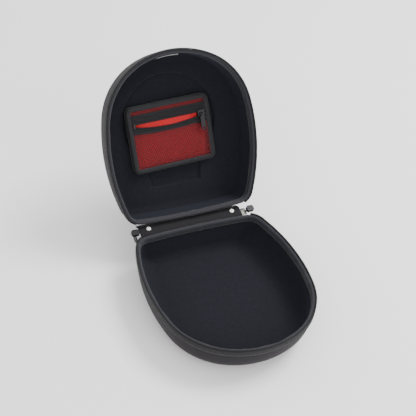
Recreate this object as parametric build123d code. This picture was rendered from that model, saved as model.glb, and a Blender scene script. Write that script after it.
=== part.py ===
from build123d import *
import math, os

# Headphone carrying case: two moulded foam shells, zipped round the sides and front
# and joined at the back by a fabric spine. Millimetres. +Z up, hinge along X at the
# back (+Y), front at -Y, origin at the middle of the underside that it stands on.
# It is drawn open, the lid leaning back at LID_OPEN degrees from closed.

# ---- overall -------------------------------------------------------------
W = 215.5            # width across the widest part, set by ARCS
L = 228.1            # hinge side to front
H_BASE = 49.0        # base shell, floor to rim crest
H_LID = 47.0         # lid shell, rim crest to the shoulder of its roof
BULGE = 3.5          # the roof's raised middle, beyond the shoulder
RIM_GAP = 5.0        # between the two rim crests when zipped shut
LID_OPEN = 120.0     # lid angle from closed, as drawn
SPINE_TURN = 78.0    # of which the spine itself turns this much

# rim outline: half outline from front middle to back middle, (radius, turn in degrees)
ARCS = [(121.517, 22.181), (94.975, 57.134), (252.405, 30.254), (22.540, 66.551), (1085.717, 3.880)]

# shell walls: distances in from the outermost rim face
T_TAPE = (0.0, 0.55)         # zipper tape, sewn outside
T_BIND_O = (0.60, 1.25)      # rim binding, outer leg
T_SHELL = (1.30, 4.55)       # moulded foam with its cover cloth bonded on
T_LINING = (4.60, 5.20)      # lining
T_BIND_I = (5.25, 5.95)      # rim binding, inner leg
BASE_DRAFT, BASE_R_SIDE, BASE_R_BACK = 5.0, 29.0, 13.0
LID_DRAFT, LID_R_SIDE, LID_R_BACK = 3.5, 17.0, 14.0
FLOOR_EXTRA = 2.6            # the base shell is this much thicker underneath
BIND_DEPTH_I, BIND_DEPTH_O = 8.7, 5.4
BIND_CREST = 0.8
ZIP_UP = 2.45                # the zipper half stands this far over the rim crest
TAPE_DOWN = 8.0              # and is sewn down to this depth
COIL_D = 1.7
ZIP_START = 50.0             # degrees of the back corner's turn where the zipper begins

# spine
CREASE_OUT, CREASE_DOWN = 1.2, 5.5       # crease line: out from the rim, down from the crest
SPINE_W = RIM_GAP + 2 * CREASE_DOWN      # 16 between creases
SPINE_HALF = 75.25
SPINE_CENTRE = -2.25
FLANGE = 9.0                              # sewn on to each shell beyond the crease
RIVET_X = (-64.0, 60.0)
SLIDER_X = (-84.0, 87.0)                   # parked at both ends of the zipper
RIVET_S = 11.0                            # along the spine from the base crease
HANDLE_W, HANDLE_T, HANDLE_RISE = 13.0, 2.4, 20.0

# roof bulge, in lid coordinates (u across, v forward from the hinge)
BULB_U, BULB_V, BULB_R, NECK_R, NECK_HALF, BULB_FOOT = -1.5, 127.0, 72.0, 60.0, 41.0, 36.0

# pocket
POCKET_U, POCKET_V, POCKET_W, POCKET_H, POCKET_R, POCKET_TILT = -3.0, 111.5, 122.0, 93.0, 9.0, 2.4
PIPE_W, POCKET_SPACE, SHEET_T = 7.0, 6.6, 0.8

os.makedirs("parts", exist_ok=True)
Y_BACK = L / 2


def arc_wire(t, start=0.0, stop=None):
    """Exact arcs of the closed outline t inside the rim's outer face, hinge side at the back."""
    edges = []
    x, y, h = 0.0, -L / 2, 0.0
    for r, turn in ARCS:
        a = math.radians(turn)
        cx, cy = x - r * math.sin(h), y + r * math.cos(h)
        pt = lambda g: (cx + (r - t) * math.sin(g), cy - (r - t) * math.cos(g))
        p0, p1, p2 = pt(h), pt(h + a / 2), pt(h + a)
        if turn == ARCS[-1][1]:
            p2 = (0.0, p2[1])
        edges.append((p0, p1, p2))
        h += a
        x, y = cx + r * math.sin(h), cy - r * math.cos(h)
    right = [ThreePointArc(*e) for e in edges]
    left = [ThreePointArc(*[(-p[0], p[1]) for p in e]) for e in edges]
    return Wire(right + left)


def ring(t0, t1, w0, w1):
    """Ring round the whole rim between two insets, from depth w0 to w1 (z = -w)."""
    body = extrude(Face(arc_wire(t0)), amount=w1 - w0) - extrude(Face(arc_wire(t1)), amount=w1 - w0)
    return Pos(0, 0, -w1) * body


WALL = 10.0          # the wall is upright this far down from the crest, then leans in


def level_wire(i_side, i_back, t, w):
    """Closed outline at depth w: the side arcs drawn in by i_side and the back arc by i_back,
    joined by a corner arc tangent to both, then the whole offset inwards by t."""
    x, y, h = 0.0, -L / 2, 0.0
    cs = []
    for r, turn in ARCS:
        cs.append((x - r * math.sin(h), y + r * math.cos(h), r, h))
        h += math.radians(turn)
        x, y = cs[-1][0] + r * math.sin(h), cs[-1][1] - r * math.cos(h)
    rc = max(ARCS[3][0] - i_side, 9.5)
    (sx, sy, sr, sh), (bx, by, br, bh) = cs[2], cs[4]
    bx = 0.0
    da, db = sr - i_side - rc, br - i_back - rc
    d = math.hypot(bx - sx, by - sy)
    a = (da * da - db * db + d * d) / (2 * d)
    k = math.sqrt(da * da - a * a)
    ux, uy = (bx - sx) / d, (by - sy) / d
    p = [(sx + a * ux - k * uy, sy + a * uy + k * ux), (sx + a * ux + k * uy, sy + a * uy - k * ux)]
    cx, cy = max(p, key=lambda q: q[1])
    g1 = math.atan2(cx - sx, sy - cy)             # heading where side meets corner
    g2 = math.atan2(cx - bx, by - cy)             # heading where corner meets back
    arcs = [(cs[0][0], cs[0][1], cs[0][2] - i_side, 0.0, cs[1][3]),
            (cs[1][0], cs[1][1], cs[1][2] - i_side, cs[1][3], cs[2][3]),
            (sx, sy, sr - i_side, cs[2][3], g1),
            (cx, cy, rc, g1, g2),
            (bx, by, br - i_back, g2, math.pi)]
    ends = []
    for ax, ay, r, h0, h1 in arcs:
        pt = lambda g: (ax + (r - t) * math.sin(g), ay - (r - t) * math.cos(g))
        ends.append([pt(h0), pt((h0 + h1) / 2), pt(h1)])
    for m in range(4):
        ends[m + 1][0] = ends[m][2]
    ends[0][0] = (0.0, ends[0][0][1])
    ends[4][2] = (0.0, ends[4][2][1])
    right = [ThreePointArc(*[Vector(q[0], q[1], -w) for q in e]) for e in ends]
    left = [ThreePointArc(*[Vector(-q[0], q[1], -w) for q in e]) for e in ends]
    return Wire(right + left)


def bowl(t, depth, draft, r_side, r_back, top=0.0, floor=None):
    """Solid bowl filling the shell below z = -top: t inside the outer wall, floor inside the outer floor."""
    floor = t if floor is None else floor
    slope = draft / (depth - WALL)
    d, rs, rb = depth - floor, r_side - t, r_back - t
    lean = lambda w: slope * max(w - WALL, 0.0)
    levels = [(top, 0.0, 0.0)]
    if WALL < d - rs - 0.5:
        levels.append((WALL, 0.0, 0.0))
    for a in (0, 28, 52, 73, 90):
        w = d - rs + rs * math.sin(math.radians(a))
        k = min(max(w - (d - rb), 0.0), rb)
        levels.append((w, lean(w) + rs * (1 - math.cos(math.radians(a))),
                       lean(w) + rb - math.sqrt(max(rb * rb - k * k, 0.0))))
    return Solid.make_loft([level_wire(s_, b_, t, w) for w, s_, b_ in levels], ruled=True)


# ---- roof bulge ----------------------------------------------------------
def bulb_face(off):
    """Rounded light-bulb outline of the lid's raised roof, grown by off; hinge side at v = 0."""
    R, q, n = BULB_R + off, NECK_R - off, NECK_HALF + off
    dv = math.sqrt((R + q) ** 2 - (n + q) ** 2)
    tx, ty = R * (n + q) / (R + q), -R * dv / (R + q)
    bx, by = n, -dv
    foot = BULB_FOOT - BULB_V - off
    fr = 12.0
    mid = math.atan2(-dv, n + q)
    m = (n + q + q * math.cos(math.pi - (math.pi + mid) / 2 + mid / 2), 0)
    # concave neck arc: centre (n+q, -dv), from the tangent point to (n, -dv)
    a0 = math.atan2(ty + dv, tx - (n + q))
    a1 = math.pi
    if a0 < 0:
        a0 += 2 * math.pi
    am = (a0 + a1) / 2
    mx, my = n + q + q * math.cos(am), -dv + q * math.sin(am)
    e = []
    e.append(ThreePointArc((tx, ty), (0, R), (-tx, ty)))
    e.append(ThreePointArc((-tx, ty), (-mx, my), (-bx, by)))
    e.append(Line((-bx, by), (-bx, foot + fr)))
    c = fr * (1 - math.sqrt(0.5))
    e.append(ThreePointArc((-bx, foot + fr), (-bx + c, foot + c), (-bx + fr, foot)))
    e.append(Line((-bx + fr, foot), (bx - fr, foot)))
    e.append(ThreePointArc((bx - fr, foot), (bx - c, foot + c), (bx, foot + fr)))
    e.append(Line((bx, foot + fr), (bx, by)))
    e.append(ThreePointArc((bx, by), (mx, my), (tx, ty)))
    return Face(Wire(e))


def bulb(off, w0, w1):
    """Bulge block as the lid is drawn, its round end towards -Y, from depth w0 to w1."""
    body = extrude(bulb_face(off), amount=w1 - w0)
    # v forward from the hinge is -Y; depth is -Z; the drawing's x is -u
    return Pos(-BULB_U, Y_BACK - BULB_V, -w0) * Rot(180, 0, 0) * body


# ---- shells in their own frame: rim crest at z = 0, depth down -------------
def shell(t0, t1, depth, draft, rs, rb, roof, floor0=None, floor1=None, w_top=0.0):
    a = bowl(t0, depth, draft, rs, rb, top=w_top, floor=floor0)
    b = bowl(t1, depth, draft, rs, rb, top=-3.0, floor=floor1)
    if roof:
        a = a + bulb(-t0, depth - 8.0, depth + BULGE - floor0)
        b = b + bulb(-t1, depth - 8.0, depth + BULGE - floor1)
    return a - b


def binding():
    return (ring(T_BIND_O[0], T_BIND_O[1], 0.0, BIND_DEPTH_O)
            + ring(T_BIND_O[0], T_BIND_I[1], 0.0, BIND_CREST)
            + ring(T_BIND_I[0], T_BIND_I[1], 0.0, BIND_DEPTH_I))


def sector(y_cut):
    """Everything in front of y_cut: keeps the zipper off the spine."""
    return Pos(0, y_cut - 300, 0) * Box(700, 600, 200)


# where the zipper begins on the back corner
_x, _y, _h = 0.0, -L / 2, 0.0
for _i, (_r, _turn) in enumerate(ARCS):
    _a = math.radians(_turn)
    _cx, _cy = _x - _r * math.sin(_h), _y + _r * math.cos(_h)
    if _i == 3:
        _g = _h + math.radians(ZIP_START)
        ZIP_X, ZIP_Y = _cx + _r * math.sin(_g), _cy - _r * math.cos(_g)
    _h += _a
    _x, _y = _cx + _r * math.sin(_h), _cy - _r * math.cos(_h)


def zip_tape():
    return ring(T_TAPE[0], T_TAPE[1], -ZIP_UP + 0.25, TAPE_DOWN) & sector(ZIP_Y)


def zip_coil():
    """One half of the coil as a square-section cord on the tape's inner face, at its top edge."""
    return ring(T_TAPE[1] + 0.02, T_TAPE[1] + COIL_D, -ZIP_UP, -ZIP_UP + COIL_D) & sector(ZIP_Y - 1.5)


def keep(shape):
    """The shape as plain solids."""
    s = shape.solids() if hasattr(shape, "solids") else [shape]
    return s[0] if len(s) == 1 else Compound(children=list(s))


B = (H_BASE, BASE_DRAFT, BASE_R_SIDE, BASE_R_BACK)
D = (H_LID, LID_DRAFT, LID_R_SIDE, LID_R_BACK)
crest = BIND_CREST + 0.05

base_place = Pos(0, 0, H_BASE)
# closed lid: mirrored top to bottom, its crest RIM_GAP above the base's
closed = Pos(0, 0, H_BASE + RIM_GAP) * Rot(0, 180, 0)
# mirror so that +X of the drawing stays +X
crease_b = Vector(0, Y_BACK + CREASE_OUT, H_BASE - CREASE_DOWN)
crease_l = Vector(0, Y_BACK + CREASE_OUT, H_BASE + RIM_GAP + CREASE_DOWN)


def turn_about(p, deg):
    """Swing towards the back about a crease line along X."""
    return Pos(0, p.Y, p.Z) * Rot(-deg, 0, 0) * Pos(0, -p.Y, -p.Z)


spine_open = turn_about(crease_b, SPINE_TURN)
lid_open = spine_open * turn_about(crease_l, LID_OPEN - SPINE_TURN)

nodes = {}

# ---- base ----------------------------------------------------------------
nodes["base_shell"] = base_place * shell(T_SHELL[0], T_SHELL[1], *B, False, 0.0, 3.25 + FLOOR_EXTRA, crest)
nodes["base_lining"] = base_place * shell(T_LINING[0], T_LINING[1], *B, False, 3.3 + FLOOR_EXTRA, 3.9 + FLOOR_EXTRA, crest)
nodes["base_rim_binding"] = base_place * binding()
nodes["base_zipper_tape"] = base_place * zip_tape()
nodes["base_zipper_coil"] = base_place * zip_coil()

# ---- lid: drawn mouth up like the base, then turned over on to it and swung open ----
# lid drawing coordinates: x = -u, y = Y_BACK - v, z = -w
lid_place = lid_open * closed
nodes["lid_shell"] = lid_place * shell(T_SHELL[0], T_SHELL[1], *D, True, 0.0, 3.25, crest)
nodes["lid_lining"] = lid_place * shell(T_LINING[0], T_LINING[1], *D, True, 3.3, 3.9, crest)
nodes["lid_rim_binding"] = lid_place * binding()
nodes["lid_zipper_tape"] = lid_place * zip_tape()
nodes["lid_zipper_coil"] = lid_place * zip_coil()

# ---- pocket on the lid's roof: local X = u, Y = v, Z = out of the roof towards the mouth ----
W_ROOF = H_LID - 3.9
pocket_place = lid_place * Pos(-POCKET_U, Y_BACK - POCKET_V, -W_ROOF) * Rot(0, 0, 180 + POCKET_TILT)
Z_MESH = 0.05 + SHEET_T + POCKET_SPACE            # underside of the mesh and tapes
IN_W, IN_H = POCKET_W - 2 * PIPE_W, POCKET_H - 2 * PIPE_W
V_ZIP, TAPE_W, SAG = 20.5, 12.0, 6.0              # the pocket's zip line, tape width, sag of the open mouth


def slab(w, h, r, z0, z1, y=0.0):
    return Pos(0, y, z0) * extrude(RectangleRounded(w, h, r), amount=z1 - z0)


def strip(u0, u1, v_low, v_top, sag_low, sag_top, z0, z1):
    """Strip across the pocket whose edges hang by sag_low and sag_top in the middle."""
    m = (u0 + u1) / 2
    low = ThreePointArc((u0, v_low), (m, v_low - sag_low), (u1, v_low)) if sag_low else Line((u0, v_low), (u1, v_low))
    top = ThreePointArc((u1, v_top), (m, v_top - sag_top), (u0, v_top)) if sag_top else Line((u1, v_top), (u0, v_top))
    e = [low, Line((u1, v_low), (u1, v_top)), top, Line((u0, v_top), (u0, v_low))]
    return Pos(0, 0, z0) * extrude(Face(Wire(e)), amount=z1 - z0)


TAPE_TOP = 14.6     # the upper tape is the wider one
G = 0.06
uh = IN_W / 2 - G
window = slab(IN_W - 2 * G, IN_H - 2 * G, 3.0, -5, 30)
pocket = {}
pocket["pocket_backing"] = slab(POCKET_W - 1, POCKET_H - 1, POCKET_R - 0.5, 0.05, 0.05 + SHEET_T)
pocket["pocket_piping"] = slab(POCKET_W, POCKET_H, POCKET_R, 0.9 + G, Z_MESH + 1.4) - slab(IN_W, IN_H, 3.0, -1, 30)
pocket["pocket_mesh_strip"] = strip(-uh, uh, V_ZIP + TAPE_TOP + G, IN_H / 2 - G, 0, 0, Z_MESH, Z_MESH + SHEET_T) & window
pocket["pocket_tape_upper"] = strip(-uh, uh, V_ZIP + 1.0, V_ZIP + TAPE_TOP, 0, 0, Z_MESH, Z_MESH + SHEET_T)
pocket["pocket_tape_lower"] = strip(-uh, uh, V_ZIP - TAPE_W, V_ZIP - 1.0, 3.0, SAG, Z_MESH, Z_MESH + SHEET_T)
pocket["pocket_mesh_panel"] = strip(-uh, uh, -IN_H / 2 + G, V_ZIP - TAPE_W - 2 * G, 0, 3.0, Z_MESH, Z_MESH + SHEET_T) & window
u_coil = 46.0
pocket["pocket_coil_upper"] = strip(-u_coil - 4, u_coil, V_ZIP + 1.15, V_ZIP + 2.7, 0, 0, Z_MESH + SHEET_T + G, Z_MESH + SHEET_T + 1.5)
pocket["pocket_coil_lower"] = strip(-u_coil - 4, u_coil, V_ZIP - 2.7, V_ZIP - 1.15, SAG * 0.8, SAG * 0.8, Z_MESH + SHEET_T + G, Z_MESH + SHEET_T + 1.5)
pocket["pocket_zip_stop"] = Pos(-u_coil - 5.6, V_ZIP, Z_MESH + SHEET_T + G) * extrude(RectangleRounded(2.6, 6.6, 0.6), amount=1.7)

# slider: two plates over and under the coils, a post past their ends, and a bridge for the pull
US = 46.6
z_lo, z_hi = Z_MESH - 2.0, Z_MESH + SHEET_T + 1.8


def slider_plate(cx, cy, z, w=10.0, h=8.4, t=1.0):
    return Pos(cx, cy, z) * extrude(RectangleRounded(w, h, 2.4), amount=t)


slider = (slider_plate(US, V_ZIP, z_lo) + slider_plate(US, V_ZIP, z_hi)
          + Pos(US + 2.0, V_ZIP, (z_lo + z_hi) / 2 + 0.5) * Box(2.6, 1.5, z_hi - z_lo + 0.4))
z_pin = z_hi + 2.9
for du in (-2.1, 2.1):
    slider += Pos(US + du, V_ZIP - 1.0, z_hi + 2.2) * Box(1.0, 2.4, 2.8)
slider += Pos(US, V_ZIP - 1.0, z_pin) * Rot(0, 90, 0) * Cylinder(0.6, 5.0)
pocket["pocket_slider"] = slider
pull = Pos(US, V_ZIP - 13.35, z_pin) * extrude(RectangleRounded(6.4, 19.5, 2.2), amount=0.65, both=True)
pull += Pos(US, V_ZIP - 3.1, z_pin) * extrude(RectangleRounded(2.4, 5.4, 1.0), amount=0.65, both=True)
pull -= Pos(US, V_ZIP - 1.0, z_pin) * Rot(0, 90, 0) * Cylinder(0.95, 8)
pull -= Pos(US, V_ZIP - 20.0, z_pin) * Cylinder(1.5, 4)
pull += Pos(US, V_ZIP - 1.0, z_pin) * Rot(0, 90, 0) * (Cylinder(1.5, 2.4) - Cylinder(0.95, 4.0))
pocket["pocket_pull_tab"] = pull
for k, v in pocket.items():
    nodes[k] = pocket_place * v

# ---- blank woven label, tucked under the binding at the front of the lid ----
LABEL_U, LABEL_W = -7.5, 30.0
label = Pos(-LABEL_U, -L / 2 + T_BIND_I[1] + 3.6, -9.2) * Rot(-6, 0, 0) * Box(LABEL_W, 0.7, 13.0)
nodes["woven_label"] = lid_place * label

# ---- spine: drawn as when shut, upright at the back, then swung open ----
yo = Y_BACK + CREASE_OUT
SX0, SX1 = SPINE_CENTRE - SPINE_HALF, SPINE_CENTRE + SPINE_HALF


def spine_slab(x0, x1, s0, s1, y0, y1):
    return Pos((x0 + x1) / 2, (y0 + y1) / 2, crease_b.Z + (s0 + s1) / 2) * Box(x1 - x0, y1 - y0, s1 - s0)


spine = {}
spine["hinge_strip"] = spine_slab(SX0, SX1, 0.0, SPINE_W, yo + 0.55, yo + 1.35)
spine["hinge_lining"] = spine_slab(SX0, SX1, 0.4, SPINE_W - 0.4, yo - 0.1, yo + 0.5)
rivets = []
zr = crease_b.Z + RIVET_S
for x in RIVET_X:
    dome = Pos(x, yo - 0.15, zr) * Rot(90, 0, 0) * extrude(Circle(3.6), amount=1.3)
    dome = fillet(dome.edges().group_by(Axis.Y)[0], 1.1)
    rivets.append(dome)
spine["rivet_domes"] = Compound(children=rivets)
# handle: webbing laid on the strip at each rivet, rising in a low arch between them
hx0, hx1 = RIVET_X[0] - 6.0, RIVET_X[1] + 6.0
xm, y0h = (hx0 + hx1) / 2, yo + 1.4
path = FilletPolyline((hx0, y0h + HANDLE_T / 2), (hx0 + 13, y0h + HANDLE_T / 2), (hx0 + 30, y0h + HANDLE_RISE), (hx1 - 30, y0h + HANDLE_RISE), (hx1 - 13, y0h + HANDLE_T / 2), (hx1, y0h + HANDLE_T / 2), radius=[10, 12, 12, 10])
handle_face = trace(path, line_width=HANDLE_T)
zc = crease_b.Z + SPINE_W / 2
spine["carry_handle"] = Pos(0, 0, zc - HANDLE_W / 2) * extrude(handle_face, amount=HANDLE_W)
spine["rivet_caps"] = Compound(children=[Pos(x, y0h + HANDLE_T + 0.15 + 1.2, zc + 1.5) * Rot(90, 0, 0) * extrude(Circle(4.0), amount=1.2) for x in RIVET_X])

# main sliders, parked at both ends of the zipper beside the spine: local X along the zipper
def main_slider(side):
    cx = SLIDER_X[0] if side < 0 else SLIDER_X[1]
    y0 = yo - 3.2
    b = Pos(cx, y0, zc) * Rot(-90, 0, 0) * extrude(RectangleRounded(10.5, 8.6, 2.4), amount=1.1)
    b += Pos(cx, y0 + 3.3, zc) * Rot(-90, 0, 0) * extrude(RectangleRounded(10.5, 8.6, 2.4), amount=1.1)
    b += Pos(cx + side * 2.5, y0 + 2.2, zc) * Box(3.0, 3.6, 2.0)
    px = cx - side * 1.8
    for dz in (-2.3, 2.3):
        b += Pos(px, y0 + 5.7, zc + dz) * Box(2.6, 2.8, 1.1)
    b += Pos(px, y0 + 6.4, zc) * Cylinder(0.65, 5.4)
    return b, (px, y0 + 6.4)


def main_pull(px, py, side, flat):
    """Pull tab on the bridge pin: lies along the spine (flat) or hangs straight out."""
    t = Pos(0, 7.6, 0) * extrude(RectangleRounded(10.6, 13.6, 3.6), amount=0.75, both=True)
    t -= Pos(0, 8.6, 0.45) * extrude(RectangleRounded(7.4, 8.6, 2.4), amount=2)
    t -= Pos(0, 8.6, -0.45) * extrude(RectangleRounded(7.4, 8.6, 2.4), amount=-2)
    t -= Pos(0, 1.2, 0) * Box(12, 5.2, 4)
    t += Pos(0, 2.2, 0) * extrude(RectangleRounded(2.6, 4.0, 0.9), amount=0.75, both=True)
    t += Rot(0, 90, 0) * Cylinder(1.55, 2.6)
    t -= Rot(0, 90, 0) * Cylinder(1.0, 6.0)
    # local X (across the tab) stands along the pin (Z); local Y is the tab's length
    t = Rot(0, 90, 0) * t
    turn = 90 if side > 0 else -90
    return Pos(px, py, zc) * (Rot(0, 0, turn) * t if flat else t)


for side, nm in ((-1, "left"), (1, "right")):
    body, (px, py) = main_slider(side)
    spine[f"{nm}_slider"] = body
    spine[f"{nm}_pull_tab"] = main_pull(px, py, side, flat=(side > 0))
    if side < 0:
        LEFT_PIN = (px, py)
    else:
        RIGHT_PIN = (px, py)
for k, v in spine.items():
    nodes[k] = spine_open * v

# flanges of the spine strip, sewn on to each shell
nodes["spine_flange_base"] = Pos((SX0 + SX1) / 2, Y_BACK + 0.55, crease_b.Z - 0.3 - FLANGE / 2) * Box(SX1 - SX0, 0.8, FLANGE)
nodes["spine_flange_lid"] = lid_place * Pos(-(SX0 + SX1) / 2, Y_BACK + 0.55, -CREASE_DOWN - 0.3 - FLANGE / 2) * Box(SX1 - SX0, 0.8, FLANGE)


def report(name, v):
    print(name, tuple(round(c, 3) for c in (v.X, v.Y, v.Z)))


def point(place, x, y, z):
    return (place * Pos(x, y, z)).position


report("base crease", crease_b)
report("lid crease", point(spine_open, crease_l.X, crease_l.Y, crease_l.Z))
report("left pin", point(spine_open, LEFT_PIN[0], LEFT_PIN[1], zc))
report("left pin axis", point(spine_open, LEFT_PIN[0], LEFT_PIN[1], zc + 1) - point(spine_open, LEFT_PIN[0], LEFT_PIN[1], zc))
report("right pin", point(spine_open, RIGHT_PIN[0], RIGHT_PIN[1], zc))
report("pocket pin", point(pocket_place, US, V_ZIP - 1.0, z_pin))
report("pocket u", point(pocket_place, 1, 0, 0) - point(pocket_place, 0, 0, 0))
report("pocket v", point(pocket_place, 0, 1, 0) - point(pocket_place, 0, 0, 0))
report("lid rim back", point(lid_place, 0, Y_BACK, 0))
report("lid v", point(lid_place, 0, -1, 0) - point(lid_place, 0, 0, 0))
report("lid w", point(lid_place, 0, 0, -1) - point(lid_place, 0, 0, 0))
report("pocket mouth", point(pocket_place, 0, V_ZIP - 3.2, Z_MESH + 0.4))
report("pocket middle", point(pocket_place, 0, -12, 0.85 + POCKET_SPACE / 2))
report("pocket out", point(pocket_place, 0, 0, 1) - point(pocket_place, 0, 0, 0))

for name, shape in nodes.items():
    export_step(keep(shape), f"parts/{name}.step")
print({k: round(v.volume, 1) for k, v in nodes.items()})
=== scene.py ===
import bpy
import math
import numpy as np
from mathutils import Matrix, Vector


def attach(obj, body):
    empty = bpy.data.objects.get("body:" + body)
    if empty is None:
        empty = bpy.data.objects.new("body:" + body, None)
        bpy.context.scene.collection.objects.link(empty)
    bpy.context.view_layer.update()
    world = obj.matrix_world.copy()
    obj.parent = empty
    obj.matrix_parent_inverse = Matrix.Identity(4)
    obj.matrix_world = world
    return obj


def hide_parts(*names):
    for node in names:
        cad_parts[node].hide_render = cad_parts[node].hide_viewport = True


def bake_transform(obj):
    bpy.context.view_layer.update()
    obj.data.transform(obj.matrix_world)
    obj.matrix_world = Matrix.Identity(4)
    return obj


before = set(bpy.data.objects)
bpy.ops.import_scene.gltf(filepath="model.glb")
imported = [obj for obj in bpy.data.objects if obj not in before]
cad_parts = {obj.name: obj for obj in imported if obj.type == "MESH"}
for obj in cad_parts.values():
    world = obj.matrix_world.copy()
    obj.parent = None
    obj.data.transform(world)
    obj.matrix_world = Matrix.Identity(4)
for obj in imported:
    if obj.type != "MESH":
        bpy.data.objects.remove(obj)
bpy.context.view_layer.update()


MM = 0.001
rng = np.random.default_rng(7)

# ------------------------------------------------------------------ dimensions (mm), as in the CAD model
L = 228.1
Y_BACK = L / 2
H_BASE, H_LID, BULGE, RIM_GAP = 49.0, 47.0, 3.5, 5.0
ARCS = [(121.517, 22.181), (94.975, 57.134), (252.405, 30.254), (22.540, 66.551), (1085.717, 3.880)]
B = (49.0, 5.0, 29.0, 13.0)
D = (47.0, 3.5, 17.0, 14.0)
WALL = 10.0
BULB_U, BULB_V, BULB_R, NECK_R, NECK_HALF, BULB_FOOT = -1.5, 127.0, 72.0, 60.0, 41.0, 36.0
CREASE_OUT, CREASE_DOWN = 1.2, 5.5
SPINE_W = 16.0
SPINE_X = (-77.5, 73.0)
POCKET_U, POCKET_V, POCKET_W, POCKET_H, POCKET_R, POCKET_TILT = -3.0, 111.5, 122.0, 93.0, 9.0, 2.4
PIPE_W, POCKET_SPACE, SHEET_T = 7.0, 6.6, 0.8
Z_MESH = 0.05 + SHEET_T + POCKET_SPACE
V_ZIP, TAPE_W, TAPE_TOP, SAG = 20.5, 12.0, 14.6, 6.0
W_ROOF = H_LID - 3.9


def T(x, y, z):
    m = np.eye(4); m[:3, 3] = (x, y, z); return m


def R(axis, deg):
    return np.array(Matrix.Rotation(math.radians(deg), 4, axis))


def turn_about(y, z, deg):
    return T(0, y, z) @ R("X", -deg) @ T(0, -y, -z)


BASE = T(0, 0, H_BASE)
CB = (Y_BACK + CREASE_OUT, H_BASE - CREASE_DOWN)
CL = (Y_BACK + CREASE_OUT, H_BASE + RIM_GAP + CREASE_DOWN)
SPINE = turn_about(CB[0], CB[1], 78.0)
LID = SPINE @ turn_about(CL[0], CL[1], 42.0) @ T(0, 0, H_BASE + RIM_GAP) @ R("Y", 180)
POCKET = LID @ T(-POCKET_U, Y_BACK - POCKET_V, -W_ROOF) @ R("Z", 180 + POCKET_TILT)


def place(m, p):
    p = np.asarray(p, float)
    return (p @ m[:3, :3].T + m[:3, 3]) * MM


# ------------------------------------------------------------------ outline, sampled evenly along its length
def arc_table():
    out, x, y, h = [], 0.0, -L / 2, 0.0
    for r, turn in ARCS:
        a = math.radians(turn)
        out.append((x - r * math.sin(h), y + r * math.cos(h), r, h, h + a))
        h += a
        x, y = out[-1][0] + r * math.sin(h), out[-1][1] - r * math.cos(h)
    return out


ARC0 = arc_table()
HALF_LEN = sum(a[2] * (a[4] - a[3]) for a in ARC0)


def samples(n_half):
    """(arc, fraction) pairs evenly spaced along half the outline, both ends in."""
    out = []
    for s in np.linspace(0, HALF_LEN, n_half + 1):
        k, rest = 0, s
        while k < 4 and rest > ARC0[k][2] * (ARC0[k][4] - ARC0[k][3]) + 1e-9:
            rest -= ARC0[k][2] * (ARC0[k][4] - ARC0[k][3]); k += 1
        out.append((k, min(1.0, rest / (ARC0[k][2] * (ARC0[k][4] - ARC0[k][3])))))
    return out


def outline(tab, i_side=0.0, i_back=0.0, t=0.0):
    """Closed loop of points and outward normals for a level of the shell."""
    rc = max(ARCS[3][0] - i_side, 9.5)
    sx, sy, sr = ARC0[2][:3]
    by, br = ARC0[4][1], ARC0[4][2]
    da, db = sr - i_side - rc, br - i_back - rc
    d = math.hypot(-sx, by - sy)
    a = (da * da - db * db + d * d) / (2 * d)
    k = math.sqrt(da * da - a * a)
    ux, uy = -sx / d, (by - sy) / d
    cand = [(sx + a * ux - k * uy, sy + a * uy + k * ux), (sx + a * ux + k * uy, sy + a * uy - k * ux)]
    cx, cy = max(cand, key=lambda q: q[1])
    g1 = math.atan2(cx - sx, sy - cy)
    g2 = math.atan2(cx, by - cy)
    arcs = [(ARC0[0][0], ARC0[0][1], ARC0[0][2] - i_side, 0.0, ARC0[0][4]),
            (ARC0[1][0], ARC0[1][1], ARC0[1][2] - i_side, ARC0[1][3], ARC0[1][4]),
            (sx, sy, sr - i_side, ARC0[2][3], g1), (cx, cy, rc, g1, g2), (0.0, by, br - i_back, g2, math.pi)]
    P, N = [], []
    for kk, f in tab:
        ax, ay, r, h0, h1 = arcs[kk]
        g = h0 + (h1 - h0) * f
        P.append((ax + (r - t) * math.sin(g), ay - (r - t) * math.cos(g))); N.append((math.sin(g), -math.cos(g)))
    P, N = np.array(P), np.array(N)
    P[0, 0] = P[-1, 0] = 0.0
    m = np.array([-1.0, 1.0])
    return np.vstack([P, P[1:-1][::-1] * m]), np.vstack([N, N[1:-1][::-1] * m])


def s_values(tab):
    n = len(tab) - 1
    return np.linspace(0, 2 * HALF_LEN, 2 * n + 1)


# ------------------------------------------------------------------ mesh helpers
def new_object(name, verts, faces, uvs=None, smooth=True, material=None):
    me = bpy.data.meshes.new(name)
    me.from_pydata([tuple(map(float, v)) for v in verts], [], [tuple(int(i) for i in f) for f in faces])
    if uvs is not None:
        layer = me.uv_layers.new(name="UVMap")
        layer.data.foreach_set("uv", np.asarray(uvs, np.float32).ravel())
    me.validate()
    me.update()
    if smooth:
        me.polygons.foreach_set("use_smooth", [True] * len(me.polygons))
    ob = bpy.data.objects.new(name, me)
    bpy.context.scene.collection.objects.link(ob)
    if material is not None:
        me.materials.append(material)
    return ob


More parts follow.
